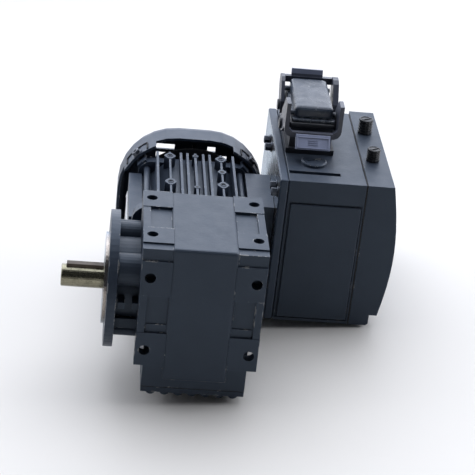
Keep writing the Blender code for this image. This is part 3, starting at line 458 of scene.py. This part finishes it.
def make_caps():
    """Ribbed screw caps with a bar across a recessed top."""
    for number in (1, 2):
        low, high = (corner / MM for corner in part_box(f"screw_cap_{number}"))
        radius = (high.x - low.x) / 2
        centre = Vector(((low.x + high.x) / 2, (low.y + high.y) / 2, 0))
        base = BOX_TOP + 0.2
        shape = bmesh.new()
        profile = [(radius * 0.86, base), (radius, base + 0.4), (radius, base + 2.2)]
        pitch = (high.z - base - 3.4) / CAP_RIBS
        for rib in range(CAP_RIBS):
            place = base + 2.2 + pitch * rib
            profile += [(radius * 0.86, place + 0.15), (radius * 0.86, place + pitch * 0.4),
                        (radius, place + pitch * 0.55), (radius, place + pitch)]
        top = high.z
        profile += [(radius * 0.95, top - 0.5), (radius * 0.82, top - 0.3), (radius * 0.78, top - 0.9)]
        lathe(shape, profile, centre, (0, 0, 1), CAP_SIDES, ribbed)
        bar = (radius * 1.45, 1.5, 1.1)
        slab(shape, centre + Vector((0, 0, top - 0.6)), bar, Matrix.Rotation(BAR_TURN, 3, "Z"))
        add(f"screw_cap_{number}_knob", as_mesh(shape, "cap"), "frame",
            SHARED["screw_cap"], SMALL_BEVEL, replaces=(f"screw_cap_{number}",))


def make_fin_marks():
    """Painted shade of the small recesses on the motor's top pads: a dark ring around a short dark bar, or a
    plain dark disc where a hole is.
    """
    shape = bmesh.new()
    top = MOTOR.z + PAD_TOP
    for x, y in RING_PADS:
        centre = Vector((MOTOR.x + x, y, top))
        ring = [centre + Vector((2.5 * math.cos(step * math.pi / 8), 3.0 * math.sin(step * math.pi / 8), 0))
                for step in range(16)]
        tube(shape, ring, 0.28, 5, closed=True)
        tube(shape, [centre + Vector((-1.4, 0.5, 0)), centre + Vector((1.4, 0.9, 0))], 0.6, 6)
    for x, y, radius in DISC_PADS:
        lathe(shape, [(radius, top - 0.4), (radius, top + 0.02), (radius * 0.7, top + 0.04)],
              (MOTOR.x + x, y, 0), (0, 0, 1), 16)
    add("fin_boss_shade_marks", as_mesh(shape, "marks"), "frame", PAINTED_SHADE)


def make_cowl_clips():
    """Dark beads that paint the shade of the bracket-shaped slits in the cowl's upper corner tabs, open
    towards the front edge.
    """
    shape = bmesh.new()
    inset, reach = COWL_HALF - COWL_ROUND, COWL_ROUND + 0.1
    (front, deep), (near, far) = CLIP_Y, CLIP_ANGLES
    corners = ((front, near), (deep, near), (deep, far), (front, far))
    for side in (-1, 1):
        line = []
        for (y_from, from_angle), (y_to, to_angle) in zip(corners, corners[1:]):
            for step in range(6):
                share = step / 6
                angle = math.radians(from_angle + (to_angle - from_angle) * share)
                across = side * (inset + reach * math.sin(angle))
                line.append(MOTOR + Vector((across, y_from + (y_to - y_from) * share,
                                            inset + reach * math.cos(angle))))
        tube(shape, line, 0.85, 6)
    add("cowl_clip_slit_shade", as_mesh(shape, "slits"), "frame", PAINTED_SHADE)


def make_tab_frame():
    """Raised frame on the front lever's finger tab, around three ruled lines."""
    shape = bmesh.new()
    across = Vector((1, 0, 0))
    foot, head = TAB_SPAN
    outline = ((-TAB_HALF, foot), (TAB_HALF, foot), (TAB_HALF, head), (-TAB_HALF, head))
    corners = [TAB_FOOT + across * x + TAB_UP * z for x, z in outline]
    dense = []
    for first, second in zip(corners, corners[1:] + corners[:1]):
        dense += [first.lerp(second, step / 6) for step in range(6)]
    tube(shape, dense, 0.55, 6, closed=True)
    for height in TAB_LINES:
        tube(shape, [TAB_FOOT + across * x + TAB_UP * height for x in LINE_STEPS], 0.3, 5)
    add("lever_tab_frame", as_mesh(shape, "tab_frame"), "front_lever", FINISH["lever_front"])


def make_label():
    """Face of the blank rating plate: a rolled border, ruled lines and four rivets."""
    low, high = (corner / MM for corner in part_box("rating_plate"))
    shape = bmesh.new()
    x = low.x - 0.05
    margin = 2
    near, far, foot, head = low.y + margin, high.y - margin, low.z + margin, high.z - margin
    border = ((near, foot), (far, foot), (far, head), (near, head))
    tube(shape, [(x, y, z) for y, z in border], 0.25, 5, closed=True)
    for step in range(1, 5):
        z = low.z + (high.z - low.z) * step / 5
        tube(shape, [(x, low.y + 3, z), (x, (low.y + high.y) / 2, z), (x, high.y - 3, z)], 0.14, 5)
    for y in (low.y + 4, high.y - 4):
        for z in (low.z + 4, high.z - 4):
            lathe(shape, [(1.5, -0.2), (1.5, 0.3), (1.1, 0.7), (0.5, 0.85)], (low.x, y, z), (-1, 0, 0), 16)
    add("rating_plate_border", as_mesh(shape, "border"), "frame", FINISH["rating_plate"])


# painted shade: a near-black plastic for beads and discs laid where small slits, slots and holes lie in
# shadow
PAINTED_SHADE = plastic("shadow_gap", (0.006, 0.007, 0.009), 0.7, scuffs=0.0)
make_screws()
make_caps()
make_fin_marks()
make_cowl_clips()
make_tab_frame()
make_label()


# ---------------------------------------------------------------- floor, light and camera
FLOOR_GAP = 0.0001                          # metres, between the lowest point and the floor
FLOOR_HALF = 7.0                            # metres
FLOOR_PAPER = ((0.785, 0.752, 0.70), (0.81, 0.776, 0.722))
RIB_IN, RIM_IN, CORNER_X = (9, 4), (90.5, 16), 286       # where it rests, in from the boxes' sides
LOW_NODES = ("bottom_cover", "fan_cowl", "box_cover", "box_body", "box_plate")
LAMPS = (("overhead", (0.2, 0.5, 1.5), 1.6, 12),        # name, place, width, power
         ("left_fill", (-1.5, 0.3, 0.9), 1.0, 4),
         ("right_fill", (1.9, 0.05, 1.1), 1.0, 12))
LAMP_COLOUR, LAMPS_AIM = (0.94, 0.98, 1.07), Vector((0.17, 0.07, 0.0))
SKY_COLOUR = (0.95, 1.0, 1.12, 1)
SKY_RANGE = (-0.25, 0.85, 0.05, 2.45)       # direction along Y from, to; strength from, to
YAW, PITCH, ROLL = 5.78, 26.90, 6.55        # the camera's angles in degrees
AIM_X, AIM_ACROSS, AIM_ABOVE = 120, 34.64, 40.24        # what it looks at: along X, then right and up in view
CAMERA_DISTANCE = 1.5403                    # metres
LENS, SENSOR = 132.93, 36


def make_floor():
    """A pale floor, tilted so that the bottom ribs, the fan cowl and the box's lower corner rest on it."""
    ribs, cowl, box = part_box("bottom_cover"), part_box("fan_cowl"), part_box("box_cover")
    rib = Vector((ribs[1].x - RIB_IN[0] * MM, ribs[0].y + RIB_IN[1] * MM, ribs[0].z))
    rim = Vector((cowl[0].x + RIM_IN[0] * MM, cowl[1].y - RIM_IN[1] * MM, cowl[0].z))
    corner = Vector((CORNER_X * MM, box[0].y, box[0].z))
    normal = (corner - rib).cross(rim - rib).normalized()
    low_items = [nodes[name] for name in LOW_NODES]
    points = [item.matrix_world @ vertex.co for item in low_items for vertex in item.data.vertices]
    lowest = min(normal.dot(point - rib) for point in points)
    mesh = bpy.data.meshes.new("floor")
    grid = bmesh.new()
    bmesh.ops.create_grid(grid, x_segments=8, y_segments=8, size=FLOOR_HALF)
    for point in grid.verts:
        across = normal.x * (point.co.x - rib.x) + normal.y * (point.co.y - rib.y)
        point.co.z = rib.z - (across - lowest) / normal.z - FLOOR_GAP
    grid.to_mesh(mesh)
    grid.free()
    floor = put("floor", mesh)
    g = Graph("floor_paper")
    colour = g.mix(g.span(g.noise(3, 3), 0.3, 0.7), *FLOOR_PAPER)
    mesh.materials.append(g.finish(colour, 0.6, g.bump(g.noise(700, 2), 0.00003)))


def make_light():
    """Soft studio light: a sky that is brighter from behind than from the front, and three lamps."""
    world = bpy.data.worlds.new("studio")
    bpy.context.scene.world = world
    world.use_nodes = True
    tree = world.node_tree
    tree.nodes.clear()
    coords = tree.nodes.new("ShaderNodeTexCoord")
    axes = tree.nodes.new("ShaderNodeSeparateXYZ")
    tree.links.new(coords.outputs["Generated"], axes.inputs[0])
    ramp = tree.nodes.new("ShaderNodeMapRange")
    set_range(ramp, SKY_RANGE)
    tree.links.new(axes.outputs["Y"], ramp.inputs["Value"])
    background = tree.nodes.new("ShaderNodeBackground")
    tree.links.new(ramp.outputs[0], background.inputs["Strength"])
    background.inputs["Color"].default_value = SKY_COLOUR
    output = tree.nodes.new("ShaderNodeOutputWorld")
    tree.links.new(background.outputs[0], output.inputs["Surface"])
    for name, place, width, power in LAMPS:
        data = bpy.data.lights.new(name, "AREA")
        data.shape = "RECTANGLE"
        data.size = data.size_y = width
        data.energy = power
        data.color = LAMP_COLOUR
        lamp = put(name, data)
        lamp.location = place
        lamp.rotation_euler = (LAMPS_AIM - Vector(place)).to_track_quat("-Z", "Y").to_euler()


def make_camera():
    """A long lens that looks down on the gear housing, slightly rolled."""
    yaw, pitch, roll = (math.radians(value) for value in (YAW, PITCH, ROLL))
    forward = Vector((math.sin(yaw) * math.cos(pitch), math.cos(yaw) * math.cos(pitch), -math.sin(pitch)))
    right = Vector((math.cos(yaw), -math.sin(yaw), 0))
    up = right.cross(forward)
    across = math.cos(roll) * right + math.sin(roll) * up
    above = math.cos(roll) * up - math.sin(roll) * right
    aim = Vector((AIM_X * MM, 0, 0)) + AIM_ACROSS * MM * across + AIM_ABOVE * MM * above
    data = bpy.data.cameras.new("camera")
    data.sensor_width = SENSOR
    data.lens = LENS
    data.clip_end = 60
    camera = put("camera", data)
    turn = Matrix((across, above, -forward)).transposed().to_4x4()
    camera.matrix_world = Matrix.Translation(aim - CAMERA_DISTANCE * forward) @ turn
    bpy.context.scene.camera = camera


make_floor()
make_light()
make_camera()
bpy.context.scene.view_settings.view_transform = "Standard"
